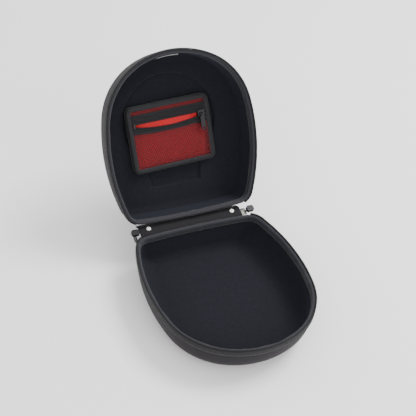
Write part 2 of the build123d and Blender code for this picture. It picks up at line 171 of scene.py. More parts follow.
def loft(rings, closed=True, cap_a=False, cap_b=False, us=None, vs=None, close_rows=False):
    """Grid of rings (each n x 3); closed joins last column to first; caps are filled towards the middle."""
    rings = [np.asarray(r, float) for r in rings]
    n, m = len(rings[0]), len(rings)
    V = np.vstack(rings)
    F, UV = [], []
    us = np.arange(n + 1) if us is None else us
    vs = np.arange(m + 1) if vs is None else vs
    rows = m if close_rows else m - 1
    cols = n if closed else n - 1
    for i in range(rows):
        a, b = i * n, ((i + 1) % m) * n
        for j in range(cols):
            k = (j + 1) % n
            F.append((a + j, a + k, b + k, b + j))
            UV += [(us[j], vs[i]), (us[j + 1], vs[i]), (us[j + 1], vs[i + 1]), (us[j], vs[i + 1])]
    V = list(V)
    for flag, base, flip in ((cap_a, 0, False), (cap_b, (m - 1) * n, True)):
        if flag:
            c = np.mean(np.array(V[base:base + n]), 0); V.append(c); ci = len(V) - 1
            for j in range(cols):
                k = (j + 1) % n
                f = (base + j, base + k, ci)
                F.append(f[::-1] if not flip else f)
                UV += [(0, 0)] * 3
    return np.array(V), F, np.array(UV, float) * MM


def fix_normals(ob):
    import bmesh
    bm = bmesh.new(); bm.from_mesh(ob.data)
    bmesh.ops.recalc_face_normals(bm, faces=bm.faces)
    bm.to_mesh(ob.data); bm.free()
    return ob


def join_parts(parts):
    V, F, UV, k = [], [], [], 0
    for v, f, uv in parts:
        V.append(v); F += [tuple(i + k for i in q) for q in f]; UV.append(uv); k += len(v)
    return np.vstack(V), F, np.vstack(UV)


def tube(path, radii, sides=6, up=(0, 0, 1)):
    """Capped tube along a short path; path in the caller's frame."""
    path = np.asarray(path, float)
    n = len(path)
    d = np.gradient(path, axis=0)
    d /= np.linalg.norm(d, axis=1)[:, None] + 1e-12
    up = np.asarray(up, float)
    rings = []
    for i in range(n):
        a = np.cross(d[i], up)
        if np.linalg.norm(a) < 1e-3:
            a = np.cross(d[i], (0.3, 0.8, 0.5))
        a /= np.linalg.norm(a)
        b = np.cross(d[i], a)
        r = radii[i] if hasattr(radii, "__len__") else radii
        ang = np.linspace(0, 2 * math.pi, sides, endpoint=False)
        rings.append(path[i] + r * (np.outer(np.cos(ang), a) + np.outer(np.sin(ang), b)))
    return loft(rings, True, True, True)


# ------------------------------------------------------------------ materials
def srgb(r, g, b):
    f = lambda c: ((c / 255 + 0.055) / 1.055) ** 2.4 if c / 255 > 0.04045 else c / 255 / 12.92
    return (f(r), f(g), f(b), 1.0)


class Nodes:
    def __init__(self, name):
        self.m = bpy.data.materials.new(name); self.m.use_nodes = True
        self.t = self.m.node_tree; self.t.nodes.clear()
        self.out = self.n("ShaderNodeOutputMaterial"); self.b = self.n("ShaderNodeBsdfPrincipled")
        self.l(self.b.outputs[0], self.out.inputs[0])

    def n(self, kind, **props):
        x = self.t.nodes.new(kind)
        for k, v in props.items():
            setattr(x, k, v)
        return x

    def l(self, a, b):
        self.t.links.new(a, b)

    def math(self, op, a, b=None, c=None, clamp=False):
        x = self.n("ShaderNodeMath", operation=op, use_clamp=clamp)
        for i, v in enumerate((a, b, c)):
            if v is None:
                continue
            if hasattr(v, "links"):
                self.l(v, x.inputs[i])
            else:
                x.inputs[i].default_value = v
        return x.outputs[0]

    def coord(self, kind):
        c = self.n("ShaderNodeTexCoord")
        return c.outputs[kind]

    def xyz(self, vec):
        s = self.n("ShaderNodeSeparateXYZ"); self.l(vec, s.inputs[0]); return s.outputs

    def noise(self, vec, scale, detail=3.0, rough=0.55):
        x = self.n("ShaderNodeTexNoise"); self.l(vec, x.inputs["Vector"])
        x.inputs["Scale"].default_value = scale; x.inputs["Detail"].default_value = detail
        x.inputs["Roughness"].default_value = rough
        return x.outputs["Fac"] if "Fac" in x.outputs else x.outputs[0]

    def voronoi(self, vec, scale, feature="F1"):
        x = self.n("ShaderNodeTexVoronoi", feature=feature); self.l(vec, x.inputs["Vector"])
        x.inputs["Scale"].default_value = scale
        return x.outputs["Distance"]

    def ramp(self, fac, stops):
        r = self.n("ShaderNodeValToRGB"); self.l(fac, r.inputs[0])
        e = r.color_ramp.elements
        while len(e) < len(stops):
            e.new(0.5)
        for el, (p, c) in zip(e, stops):
            el.position = p; el.color = c
        return r.outputs[0]

    def mix(self, fac, a, b):
        x = self.n("ShaderNodeMix", data_type="RGBA")
        for sock, v in ((x.inputs["Factor"] if False else x.inputs[0], fac), (x.inputs[6], a), (x.inputs[7], b)):
            if hasattr(v, "links"):
                self.l(v, sock)
            else:
                sock.default_value = v
        return x.outputs[2]

    def bump(self, height, dist, strength=1.0):
        x = self.n("ShaderNodeBump"); self.l(height, x.inputs["Height"])
        x.inputs["Distance"].default_value = dist; x.inputs["Strength"].default_value = strength
        self.l(x.outputs[0], self.b.inputs["Normal"])
        return x

    def set(self, **kw):
        names = {"rough": "Roughness", "metal": "Metallic", "sheen": "Sheen Weight", "sheen_rough": "Sheen Roughness",
                 "sheen_tint": "Sheen Tint", "spec": "Specular IOR Level", "coat": "Coat Weight"}
        for k, v in kw.items():
            self.b.inputs[names[k]].default_value = v
        return self


def weave_height(k, u, v, pitch):
    """Plain weave from two coordinates in metres: crossed threads, over and under."""
    a = k.math("SINE", k.math("MULTIPLY", u, 2 * math.pi / pitch))
    b = k.math("SINE", k.math("MULTIPLY", v, 2 * math.pi / pitch))
    c = k.math("MULTIPLY", a, b)
    return k.math("MULTIPLY_ADD", c, 0.5, 0.5)


def cloth_outer():
    k = Nodes("outer_cloth")
    o = k.coord("Object"); x, y, z = k.xyz(o)
    d = k.math("ADD", x, y); e = k.math("ADD", k.math("SUBTRACT", x, y), z)
    w = weave_height(k, d, e, 0.0013)
    grain = k.noise(o, 1500.0, 2.0)
    blot = k.noise(o, 26.0, 4.0)
    h = k.math("MULTIPLY_ADD", grain, 0.9, w)
    c = k.mix(k.math("MULTIPLY_ADD", w, 0.12, k.math("MULTIPLY", grain, 0.75), clamp=True), srgb(14, 13, 15), srgb(34, 32, 35))
    c = k.mix(k.math("MULTIPLY", blot, 0.35), c, srgb(24, 22, 25))
    k.l(c, k.b.inputs["Base Color"])
    k.l(k.math("MULTIPLY_ADD", grain, 0.15, 0.72), k.b.inputs["Roughness"])
    k.set(sheen=0.12, sheen_rough=0.45, spec=0.22)
    k.b.inputs["Sheen Tint"].default_value = srgb(196, 184, 194)
    k.bump(h, 0.00008)
    return k.m


def cloth_lining():
    k = Nodes("lining_cloth")
    o = k.coord("Object")
    fine = k.noise(o, 1900.0, 2.0)
    nap = k.noise(o, 260.0, 4.0, 0.65)
    blot = k.noise(o, 17.0, 4.0)
    c = k.mix(k.math("MULTIPLY", nap, 0.9, clamp=True), srgb(16, 16, 20), srgb(34, 35, 42))
    c = k.mix(k.math("MULTIPLY", blot, 0.4), c, srgb(22, 22, 27))
    k.l(c, k.b.inputs["Base Color"])
    k.l(k.math("MULTIPLY_ADD", fine, 0.1, 0.86), k.b.inputs["Roughness"])
    k.set(sheen=0.10, sheen_rough=0.5, spec=0.12)
    k.b.inputs["Sheen Tint"].default_value = srgb(180, 186, 214)
    k.bump(k.math("MULTIPLY_ADD", nap, 0.6, fine), 0.00012)
    return k.m


def ribbon(name, dark, light, pitch=0.00125):
    """Grosgrain: ribs across the length (u), fine threads along it (v)."""
    k = Nodes(name)
    u, v, _ = k.xyz(k.coord("UV"))
    o = k.coord("Object")
    wob = k.math("MULTIPLY", k.noise(o, 90.0, 2.0), 0.0006)
    uu = k.math("ADD", u, wob)
    rib = k.math("MULTIPLY_ADD", k.math("SINE", k.math("MULTIPLY", uu, 2 * math.pi / pitch)), 0.5, 0.5)
    thread = k.math("MULTIPLY_ADD", k.math("SINE", k.math("MULTIPLY", v, 2 * math.pi / 0.0007)), 0.5, 0.5)
    fuzz = k.noise(o, 1400.0, 2.0)
    h = k.math("MULTIPLY_ADD", thread, 0.25, rib)
    h = k.math("MULTIPLY_ADD", fuzz, 0.5, h)
    c = k.mix(k.math("MULTIPLY", h, 0.55, clamp=True), dark, light)
    k.l(c, k.b.inputs["Base Color"])
    k.l(k.math("MULTIPLY_ADD", fuzz, 0.15, 0.66), k.b.inputs["Roughness"])
    k.set(sheen=0.14, sheen_rough=0.4, spec=0.25)
    k.bump(h, 0.00022)
    return k.m


def tape_mat():
    k = Nodes("zipper_tape_cloth")
    u, v, _ = k.xyz(k.coord("UV"))
    o = k.coord("Object")
    zig = k.math("ABSOLUTE", k.math("SUBTRACT", k.math("FRACT", k.math("DIVIDE", v, 0.003)), 0.5))
    d = k.math("MULTIPLY_ADD", zig, 0.003, u)
    rib = k.math("MULTIPLY_ADD", k.math("SINE", k.math("MULTIPLY", d, 2 * math.pi / 0.0019)), 0.5, 0.5)
    fuzz = k.noise(o, 1500.0, 2.0)
    h = k.math("MULTIPLY_ADD", fuzz, 0.6, rib)
    c = k.mix(k.math("MULTIPLY", h, 0.5, clamp=True), srgb(4, 4, 6), srgb(27, 26, 30))
    k.l(c, k.b.inputs["Base Color"])
    k.l(k.math("MULTIPLY_ADD", fuzz, 0.15, 0.68), k.b.inputs["Roughness"])
    k.set(sheen=0.08, spec=0.25)
    k.bump(h, 0.0003)
    return k.m


def coil_mat():
    k = Nodes("coil_nylon")
    o = k.coord("Object")
    f = k.noise(o, 700.0, 2.0)
    c = k.mix(f, srgb(16, 16, 18), srgb(44, 43, 47))
    k.l(c, k.b.inputs["Base Color"])
    k.l(k.math("MULTIPLY_ADD", f, 0.2, 0.3), k.b.inputs["Roughness"])
    k.set(spec=0.5)
    k.bump(f, 0.00003)
    return k.m


def metal(name, lo, hi, rough, metallic=1.0):
    k = Nodes(name)
    o = k.coord("Object")
    s = k.n("ShaderNodeMapping"); k.l(o, s.inputs[0]); s.inputs["Scale"].default_value = (90, 1400, 1400)
    scratch = k.noise(s.outputs[0], 1.0, 3.0)
    worn = k.noise(o, 420.0, 4.0)
    c = k.mix(k.math("MULTIPLY", k.math("ADD", scratch, worn), 0.5), lo, hi)
    k.l(c, k.b.inputs["Base Color"])
    k.l(k.math("MULTIPLY_ADD", worn, 0.18, rough), k.b.inputs["Roughness"])
    k.b.inputs["Metallic"].default_value = metallic
    k.bump(k.math("MULTIPLY_ADD", worn, 0.5, scratch), 0.00003)
    return k.m


def net_mat():
    """Twisted red and black yarn of the pocket's net."""
    k = Nodes("net_yarn")
    u, v, _ = k.xyz(k.coord("UV"))
    o = k.coord("Object")
    twist = k.math("MULTIPLY_ADD", k.math("SINE", k.math("MULTIPLY", k.math("ADD", u, k.math("MULTIPLY", v, 0.6)), 2 * math.pi / 0.00045)), 0.5, 0.5)
    f = k.noise(o, 500.0, 3.0)
    c = k.mix(k.math("MULTIPLY", twist, f), srgb(44, 6, 12), srgb(120, 16, 30))
    k.l(c, k.b.inputs["Base Color"])
    k.l(k.math("MULTIPLY_ADD", f, 0.25, 0.5), k.b.inputs["Roughness"])
    k.set(sheen=0.1, spec=0.3)
    k.bump(k.math("MULTIPLY_ADD", f, 0.5, twist), 0.00012)
    return k.m


def red_mat():
    k = Nodes("red_lining")
    o = k.coord("Object"); x, y, z = k.xyz(o)
    w = weave_height(k, x, k.math("ADD", y, z), 0.0007)
    c = k.mix(k.noise(o, 45.0, 4.0), srgb(196, 2, 14), srgb(220, 6, 22))
    c = k.mix(k.math("MULTIPLY", w, 0.25), c, srgb(168, 4, 18))
    k.l(c, k.b.inputs["Base Color"])
    k.l(k.math("MULTIPLY_ADD", w, 0.15, 0.5), k.b.inputs["Roughness"])
    k.set(sheen=0.2, spec=0.4)
    k.bump(w, 0.00012)
    return k.m


def webbing_mat():
    k = Nodes("webbing")
    u, v, _ = k.xyz(k.coord("UV"))
    o = k.coord("Object")
    zig = k.math("ABSOLUTE", k.math("SUBTRACT", k.math("FRACT", k.math("DIVIDE", v, 0.0044)), 0.5))
    d = k.math("MULTIPLY_ADD", zig, 0.004, u)
    rib = k.math("MULTIPLY_ADD", k.math("SINE", k.math("MULTIPLY", d, 2 * math.pi / 0.0018)), 0.5, 0.5)
    f = k.noise(o, 1300.0, 2.0)
    h = k.math("MULTIPLY_ADD", f, 0.5, rib)
    c = k.mix(k.math("MULTIPLY", h, 0.6, clamp=True), srgb(30, 29, 32), srgb(64, 62, 68))
    k.l(c, k.b.inputs["Base Color"])
    k.l(k.math("MULTIPLY_ADD", f, 0.15, 0.65), k.b.inputs["Roughness"])
    k.set(sheen=0.3, spec=0.25)
    k.bump(h, 0.0003)
    return k.m


def label_mat():
    k = Nodes("woven_label")
    u, v, _ = k.xyz(k.coord("UV"))
    o = k.coord("Object")
    w = weave_height(k, u, v, 0.0006)
    band = k.math("LESS_THAN", k.math("ABSOLUTE", k.math("SUBTRACT", v, 0.0021)), 0.0011)
    c = k.mix(band, srgb(34, 34, 38), srgb(205, 205, 205))
    c = k.mix(k.math("MULTIPLY", w, 0.3), c, srgb(60, 60, 66))
    k.l(c, k.b.inputs["Base Color"])
    k.l(k.math("MULTIPLY_ADD", w, 0.15, 0.6), k.b.inputs["Roughness"])
    k.set(sheen=0.2, spec=0.3)
    k.bump(w, 0.0001)
    return k.m


def thread_mat():
    k = Nodes("thread")
    o = k.coord("Object")
    f = k.noise(o, 2500.0, 2.0)
    k.l(k.mix(f, srgb(24, 23, 26), srgb(62, 60, 65)), k.b.inputs["Base Color"])
    k.l(k.math("MULTIPLY_ADD", f, 0.2, 0.5), k.b.inputs["Roughness"])
    k.set(sheen=0.2, spec=0.3)
    k.bump(f, 0.00005)
    return k.m


M_OUT, M_LIN = cloth_outer(), cloth_lining()
M_BIND = ribbon("binding_ribbon", srgb(20, 20, 24), srgb(56, 56, 63), 0.0014)
M_PIPE = ribbon("piping_ribbon", srgb(14, 14, 16), srgb(42, 42, 46), 0.0018)
M_TAPE, M_COIL = tape_mat(), coil_mat()
M_BLACK = metal("black_metal", srgb(12, 12, 13), srgb(46, 46, 50), 0.24, 0.7)
M_BRIGHT = metal("bright_metal", srgb(168, 168, 163), srgb(214, 214, 208), 0.3)
M_PULL = metal("pull_metal", srgb(86, 86, 83), srgb(138, 138, 133), 0.34)
M_NET, M_RED, M_WEB, M_LABEL, M_THREAD = net_mat(), red_mat(), webbing_mat(), label_mat(), thread_mat()

# ------------------------------------------------------------------ shells
TAB = samples(150)          # for shells
FINE = samples(300)         # for the rim
S1, S2 = s_values(TAB), s_values(FINE)


def levels(depth, draft, rs, rb, t, floor, top, wall_n=5, arc_n=14):
    slope = draft / (depth - WALL)
    d, rs, rb = depth - floor, rs - t, rb - t
    lean = lambda w: slope * max(w - WALL, 0.0) * (1 - math.exp(-max(w - WALL, 0) / 3.0))
    ws = list(np.linspace(top, d - rs, wall_n, endpoint=False)) + [d - rs * (1 - math.sin(math.radians(a))) for a in np.linspace(0, 90, arc_n + 1)]
    out = []
    for w in ws:
        ks = min(max(w - (d - rs), 0.0), rs); kb = min(max(w - (d - rb), 0.0), rb)
        out.append((w, lean(w) + rs - math.sqrt(max(rs * rs - ks * ks, 0.0)), lean(w) + rb - math.sqrt(max(rb * rb - kb * kb, 0.0))))
    return out


def bulb_distance(u, v):
    """Distance inside (+) the roof's light-bulb outline, mm."""
    x, y = np.abs(u - BULB_U), v - BULB_V
    n, q = NECK_HALF, NECK_R
    dv = math.sqrt((BULB_R + q) ** 2 - (n + q) ** 2)
    tx, ty = BULB_R * (n + q) / (BULB_R + q), -BULB_R * dv / (BULB_R + q)
    d_circle = BULB_R - np.hypot(x, y)
    d_neck = np.hypot(x - (n + q), y + dv) - q
    d_line = n - x
    side = np.where(y > ty, d_circle, np.where(y > -dv, d_neck, d_line))
    inside_circle = np.hypot(x, y) < BULB_R
    side = np.where((y <= ty) & inside_circle, np.maximum(side, d_circle), side)
    foot = v - BULB_FOOT
    return np.minimum(side, foot)


def bowl_rings(m, dims, t, floor, top, roof=False, caps=26):
    """Rings of one surface of a shell from the rim to the middle of its floor."""
    rings = []
    lv = levels(*dims, t, floor, top)
    for w, i, b in lv:
        p, _ = outline(TAB, i, b, t)
        rings.append(np.c_[p, np.full(len(p), -w)])
    last = rings[-1]
    c = np.array([0.0, -9.0 if not roof else -5.0, last[0, 2]])
    for f in np.linspace(1, 0.02, 76 if roof else caps)[1:]:
        rings.append(c + (last - c) * f)
    if roof:
        out = []
        for r in rings:
            u, v = -r[:, 0], Y_BACK - r[:, 1]
            e = bulb_distance(u, v) + (t - 1.3) * -1.0
            k = np.clip((e + 0.2) / 2.2, 0, 1); k = k * k * (3 - 2 * k)
            near = np.clip((-r[:, 2] - (dims[0] - floor - 7.0)) / 5.0, 0, 1)
            fold = np.exp(-((e - 1.5) / 1.25) ** 2) * (-1.35 if t > 4 else 0.0)
            r = r.copy(); r[:, 2] -= (BULGE * k - fold) * near
            out.append(r)
        rings = out
    return rings


def shell_object(name, m, dims, t0, t1, f0, f1, top, roof, material, smooth_noise=0.0):
    a = bowl_rings(m, dims, t0, f0, top, roof)
    b = bowl_rings(m, dims, t1, f1, top, roof)
    rings = [place(m, r) for r in a] + [place(m, r) for r in b[::-1]]
    # outer surface middle -> join through two tiny centre fans keeps it closed
    na = len(a)
    V1, F1, U1 = loft(rings[:na], True, False, True, S1)
    V2, F2, U2 = loft(rings[na:], True, True, False, S1)
    n = len(TAB) * 2 - 2
    off = len(V1)
    top_b = off + (len(b) - 1) * n
    F = list(F1) + [tuple(i + off for i in f) for f in F2]
    UV = np.vstack([U1, U2])
    extra = []
    for j in range(n):
        k = (j + 1) % n
        extra.append((j, k, top_b + k, top_b + j))
    UV = np.vstack([UV, np.zeros((4 * n, 2))])
    ob = new_object(name, np.vstack([V1, V2]), F + extra, UV, True, material)
    return fix_normals(ob)


base_shell = shell_object("base_shell_cloth", BASE, B, 1.3, 4.55, 0.0, 5.85, 0.85, False, M_OUT)
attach(base_shell, "base"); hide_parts("base_shell")
base_lining = shell_object("base_lining_cloth", BASE, B, 4.6, 5.2, 5.9, 6.5, 0.85, False, M_LIN)
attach(base_lining, "base"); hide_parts("base_lining")
lid_shell = shell_object("lid_shell_cloth", LID, D, 1.3, 4.55, 0.0, 3.25, 0.85, True, M_OUT)
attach(lid_shell, "lid"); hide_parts("lid_shell")
lid_lining = shell_object("lid_lining_cloth", LID, D, 4.6, 5.2, 3.3, 3.9, 0.85, True, M_LIN)
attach(lid_lining, "lid"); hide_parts("lid_lining")


# ------------------------------------------------------------------ rim binding: a folded ribbon with a rounded crest
def smooth_noise_1d(n, cells, seed):
    r = np.random.default_rng(seed).normal(0, 1, cells)
    x = np.linspace(0, cells, n, endpoint=False)
    i = x.astype(int); f = x - i; f = f * f * (3 - 2 * f)
    return r[i % cells] * (1 - f) + r[(i + 1) % cells] * f


def corner_window(tab):
    """1 over the two back corners, 0 elsewhere."""
    w = np.array([math.sin(math.pi * f) ** 0.6 if k == 3 else 0.0 for k, f in tab])
    return np.concatenate([w, w[1:-1][::-1]])


def binding_object(name, m, body, node, seed, overlap_side):
    p0, nrm = outline(FINE)
    n = len(p0)
    win = corner_window(FINE)
    s = S2[:-1]
    low = smooth_noise_1d(n, 46, seed) * 0.13
    puck = win * (0.34 * np.sin(2 * math.pi * s / 4.6 + seed) + 0.18 * np.sin(2 * math.pi * s / 2.9 + 1.3 * seed))
    puck2 = smooth_noise_1d(n, 170, seed + 5) * 0.10
    x = p0[:, 0]
    over = np.where((p0[:, 1] > 90) & (x * overlap_side > 0) & (x * overlap_side < 9.5), 0.38, 0.0)
    # cross-section: (inset, depth, outward weight for the puckers)
    sec = [(0.62, 5.6), (0.58, 3.6), (0.66, 2.1), (1.0, 0.95), (1.75, 0.05), (2.7, -0.42), (3.6, -0.5), (4.5, -0.22), (5.25, 0.45), (5.8, 1.45),
           (6.0, 2.7), (6.05, 4.4), (6.08, 6.6), (6.12, 8.8), (5.75, 9.0), (5.42, 8.7), (5.36, 6.0), (5.3, 2.9), (4.8, 1.75), (3.6, 1.2), (2.4, 1.45), (1.5, 2.2), (1.22, 3.4), (1.22, 5.5)]
    sec = np.array(sec)
    ns = len(sec)
    c = sec - np.array([3.3, 4.0])
    rings = []
    for i, (t, w) in enumerate(sec):
        outer = i <= 13
        t_, w_ = np.full(n, t), np.full(n, w)
        dir_t = np.sign(t - 3.3) if (t < 1.2 or t > 5.2) else (t - 3.3) / 2.6
        amp = (low + puck2 + puck * (1.0 if t > 4 else 0.45)) if outer else (low * 0.5)
        amp = amp + (over if outer else 0)
        t_ = t_ + dir_t * amp
        if w < 1.6:
            w_ = w_ - np.abs(amp) * (1 - min(abs(t - 3.3) / 2.6, 1)) - low * 0.6
        if w > 8:
            w_ = w_ + smooth_noise_1d(n, 60, seed + 9) * 0.22
        q = p0 - nrm * t_[:, None]
        rings.append(place(m, np.c_[q, -w_]))
    vs = np.concatenate([[0], np.cumsum(np.linalg.norm(np.diff(np.vstack([sec, sec[:1]]), axis=0), axis=1))])
    V, F, UV = loft(rings, True, False, False, S2, vs, close_rows=True)
    ob = fix_normals(new_object(name, V, F, UV, True, M_BIND))
    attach(ob, body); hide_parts(node)
    return ob


base_binding = binding_object("base_binding_ribbon", BASE, "base", "base_rim_binding", 3, 1)
lid_binding = binding_object("lid_binding_ribbon", LID, "lid", "lid_rim_binding", 11, -1)


# ------------------------------------------------------------------ zipper: tape, coil and stitching round the sides and front
def zip_range(tab, pts, extra=0.0):
    """Indices of the loop in front of the zipper's ends, in order from the right back corner round the front to the left."""
    y_end = 110.19 + extra
    n = len(pts)
    idx = [i for i in range(n) if pts[i, 1] < y_end]
    right = [i for i in idx if i < n // 2 + 1]
    left = [i for i in idx if i >= n // 2 + 1]
    return right[::-1] + left[::-1]


def strip_along(m, tab, rng_i, section, s0=0.0, wob=None):
    p, nrm = outline(tab)
    p, nrm = p[rng_i], nrm[rng_i]
    us = np.concatenate([[0], np.cumsum(np.linalg.norm(np.diff(p, axis=0), axis=1))])
    rings = []
    for t, w in section:
        tt = t if wob is None else t + wob
        q = p - nrm * np.reshape(tt, (-1, 1)) if wob is not None else p - nrm * t
        rings.append(place(m, np.c_[q, np.full(len(q), -w)]))
    sec = np.array(section)
    vs = np.concatenate([[0], np.cumsum(np.linalg.norm(np.diff(np.vstack([sec, sec[:1]]), axis=0), axis=1))])
    V, F, UV = loft(rings, False, False, False, us, vs, close_rows=True)
    n, k = len(rng_i), len(section)
    F = list(F)
    F.append(tuple(i * n for i in range(k))); F.append(tuple((k - 1 - i) * n + n - 1 for i in range(k)))
    UV = np.vstack([UV, np.zeros((2 * k, 2))])
    return V, F, UV


def even_points(m_unused, tab, rng_i, pitch, start=0.0):
    p, nrm = outline(tab)
    p, nrm = p[rng_i], nrm[rng_i]
    s = np.concatenate([[0], np.cumsum(np.linalg.norm(np.diff(p, axis=0), axis=1))])
    q = np.arange(start, s[-1] - start, pitch)
    P = np.c_[np.interp(q, s, p[:, 0]), np.interp(q, s, p[:, 1])]
    N = np.c_[np.interp(q, s, nrm[:, 0]), np.interp(q, s, nrm[:, 1])]
    N /= np.linalg.norm(N, axis=1)[:, None]
    return P, N


def batch_tubes(centres, A, Bv, C, path, radius, sides=5):
    """Many copies of one little tube: path points are (a, b, c) in the local axes A, B, C at each centre."""
    path = np.array(path, float)
    v0, f0, uv0 = tube(path, radius, sides, up=(0.13, 0.2, 0.97))
    n = len(centres)
    V = centres[:, None, :] + v0[None, :, 0:1] * A[:, None, :] + v0[None, :, 1:2] * Bv[:, None, :] + v0[None, :, 2:3] * C[:, None, :]
    F = []
    k = len(v0)
    for i in range(n):
        F += [tuple(j + i * k for j in f) for f in f0]
    return V.reshape(-1, 3), F, np.tile(uv0, (n, 1))


def zipper_half(prefix, m, body, seed):
    p0, _ = outline(FINE)
    idx = zip_range(FINE, p0)
    tape_sec = [(0.02, -2.2), (-0.02, 1.5), (0.05, 5.0), (0.12, 8.0), (0.62, 8.0), (0.55, 4.0), (0.5, 0.0), (0.5, -2.2)]
    wob = smooth_noise_1d(len(idx), 60, seed) * 0.05
    V, F, UV = strip_along(m, FINE, idx, tape_sec, wob=wob)
    tape = fix_normals(new_object(f"{prefix}_tape_cloth", V, F, UV, True, M_TAPE))
    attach(tape, body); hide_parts(f"{prefix}_zipper_tape")
    # coil loops
    idc = zip_range(FINE, p0, -1.5)
    P, N = even_points(m, FINE, idc, 1.32, 1.0)
    Tn = np.c_[-N[:, 1], N[:, 0]]
    z = np.zeros(len(P))
    centres = place(m, np.c_[P - N * 1.35, z + 1.6])
    Rm = m[:3, :3]
    A = (np.c_[Tn, z] @ Rm.T) * MM; Bv = (np.c_[-N, z] @ Rm.T) * MM; C = (np.c_[z, z, z + 1.0] @ Rm.T) * MM
    loop = [(-0.30, -0.45, -0.58), (-0.36, -0.42, 0.0), (-0.24, -0.32, 0.42), (0.0, 0.0, 0.56), (0.24, 0.32, 0.42), (0.36, 0.42, 0.0), (0.30, 0.28, -0.58)]
    V, F, UV = batch_tubes(centres, A, Bv, C, loop, 0.27, 5)
    coil = new_object(f"{prefix}_coil_loops", V, F, UV, True, M_COIL)
    # the cord the loops are wound on, and its sewn edge
    V2, F2, UV2 = strip_along(m, FINE, idc, [(0.75, -1.9), (0.75, -0.5), (1.95, -0.5), (1.95, -1.9)])
    coil2 = fix_normals(new_object(f"{prefix}_coil_core", V2, F2, UV2, True, M_TAPE))
    coil2.parent = coil
    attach(coil, body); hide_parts(f"{prefix}_zipper_coil")
    # two rows of stitches through the tape and one on the binding's inner leg
    parts = []
    for t, w, pitch, side in ((-0.12, 3.2, 3.3, -1), (-0.08, 6.4, 3.3, -1)):
        P, N = even_points(m, FINE, idx, pitch, 2.0)
        Tn = np.c_[-N[:, 1], N[:, 0]]; z = np.zeros(len(P))
        cen = place(m, np.c_[P - N * t, z - w])
        A = (np.c_[Tn, z] @ Rm.T) * MM; Bv = (np.c_[N, z] @ Rm.T) * MM; C = (np.c_[z, z, z + 1.0] @ Rm.T) * MM
        parts.append(batch_tubes(cen, A, Bv, C, [(-1.2, -0.22, 0), (-0.85, 0.02, 0), (0, 0.10, 0), (0.85, 0.02, 0), (1.2, -0.22, 0)], [0.12, 0.2, 0.22, 0.2, 0.12], 6))
    allidx = list(range(len(p0)))
    P, N = even_points(m, FINE, allidx, 3.1, 0.5)
    Tn = np.c_[-N[:, 1], N[:, 0]]; z = np.zeros(len(P))
    cen = place(m, np.c_[P - N * 6.24, z - 7.4])
    A = (np.c_[Tn, z] @ Rm.T) * MM; Bv = (np.c_[-N, z] @ Rm.T) * MM; C = (np.c_[z, z, z + 1.0] @ Rm.T) * MM
    parts.append(batch_tubes(cen, A, Bv, C, [(-1.1, -0.2, 0), (-0.8, 0.02, 0), (0, 0.10, 0), (0.8, 0.02, 0), (1.1, -0.2, 0)], [0.12, 0.2, 0.22, 0.2, 0.12], 6))
    V, F, UV = join_parts(parts)
    st = new_object(f"{prefix}_stitches", V, F, UV, True, M_THREAD)
    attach(st, body)


zipper_half("base", BASE, "base", 21)
zipper_half("lid", LID, "lid", 33)

# ------------------------------------------------------------------ spine strip: one cloth in two lengths, bending at each crease
yb = Y_BACK
path_low = [(0.95, -14.6), (0.98, -12.0), (0.98, -9.4), (1.02, -7.7), (1.25, -6.7), (1.9, -6.05), (3.1, -5.72), (5.0, -5.3), (7.1, -4.86), (9.15, -4.43)]
path_up = [(9.15, -4.43), (11.2, -3.98), (13.2, -3.55), (15.0, -3.2), (16.2, -3.05), (17.3, -3.2), (18.6, -3.85), (20.5, -4.95), (22.8, -6.28), (25.0, -7.55)]


def strip_piece(name, path, half_t, seed):
    path = np.array(path)
    # resample
    d = np.concatenate([[0], np.cumsum(np.linalg.norm(np.diff(path, axis=0), axis=1))])
    q = np.linspace(0, d[-1], 34)
    cy, cz = np.interp(q, d, path[:, 0]), np.interp(q, d, path[:, 1])
    for _ in range(3):
        cy[1:-1] = (cy[:-2] + 2 * cy[1:-1] + cy[2:]) / 4; cz[1:-1] = (cz[:-2] + 2 * cz[1:-1] + cz[2:]) / 4
    dy, dz = np.gradient(cy), np.gradient(cz)
    ln = np.hypot(dy, dz); ny, nz = -dz / ln, dy / ln
    xs = np.linspace(SPINE_X[0], SPINE_X[1], 140)
    wav = smooth_noise_1d(140, 22, seed) * 0.16 + smooth_noise_1d(140, 60, seed + 1) * 0.05
    def surf(o):
        rows = []
        for i in range(len(q)):
            f = math.sin(math.pi * i / (len(q) - 1))
            r = np.c_[xs, np.full(140, yb + cy[i] + ny[i] * o) + ny[i] * wav * f, np.full(140, H_BASE + cz[i] + nz[i] * o) + nz[i] * wav * f]
            rows.append(r * MM)
        return rows
    top, bot = surf(half_t), surf(-half_t)
    rings = top + bot[::-1]
    vs = np.concatenate([q, [q[-1] + 1], q[::-1] + q[-1] + 1])[:len(rings) + 1]
    V, F, UV = loft(rings, False, False, False, xs, np.linspace(0, 2 * d[-1] + 2, len(rings) + 1), close_rows=True)
    n, k = 140, len(rings)
    F = list(F) + [tuple(i * n for i in range(k)), tuple((k - 1 - i) * n + n - 1 for i in range(k))]
    UV = np.vstack([UV, np.zeros((2 * k, 2))])
    return fix_normals(new_object(name, V, F, UV, True, M_OUT))


low = strip_piece("spine_strip_lower", path_low, 0.62, 41)
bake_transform(low)
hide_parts("hinge_strip", "hinge_lining", "spine_flange_base")
upp = strip_piece("spine_strip_upper", path_up, 0.62, 43)
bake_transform(upp)
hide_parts("spine_flange_lid")

# ------------------------------------------------------------------ carry handle
Z_C = CB[1] + SPINE_W / 2
YO = yb + CREASE_OUT
hx0, hx1 = -70.0, 66.0
y0h = YO + 1.4


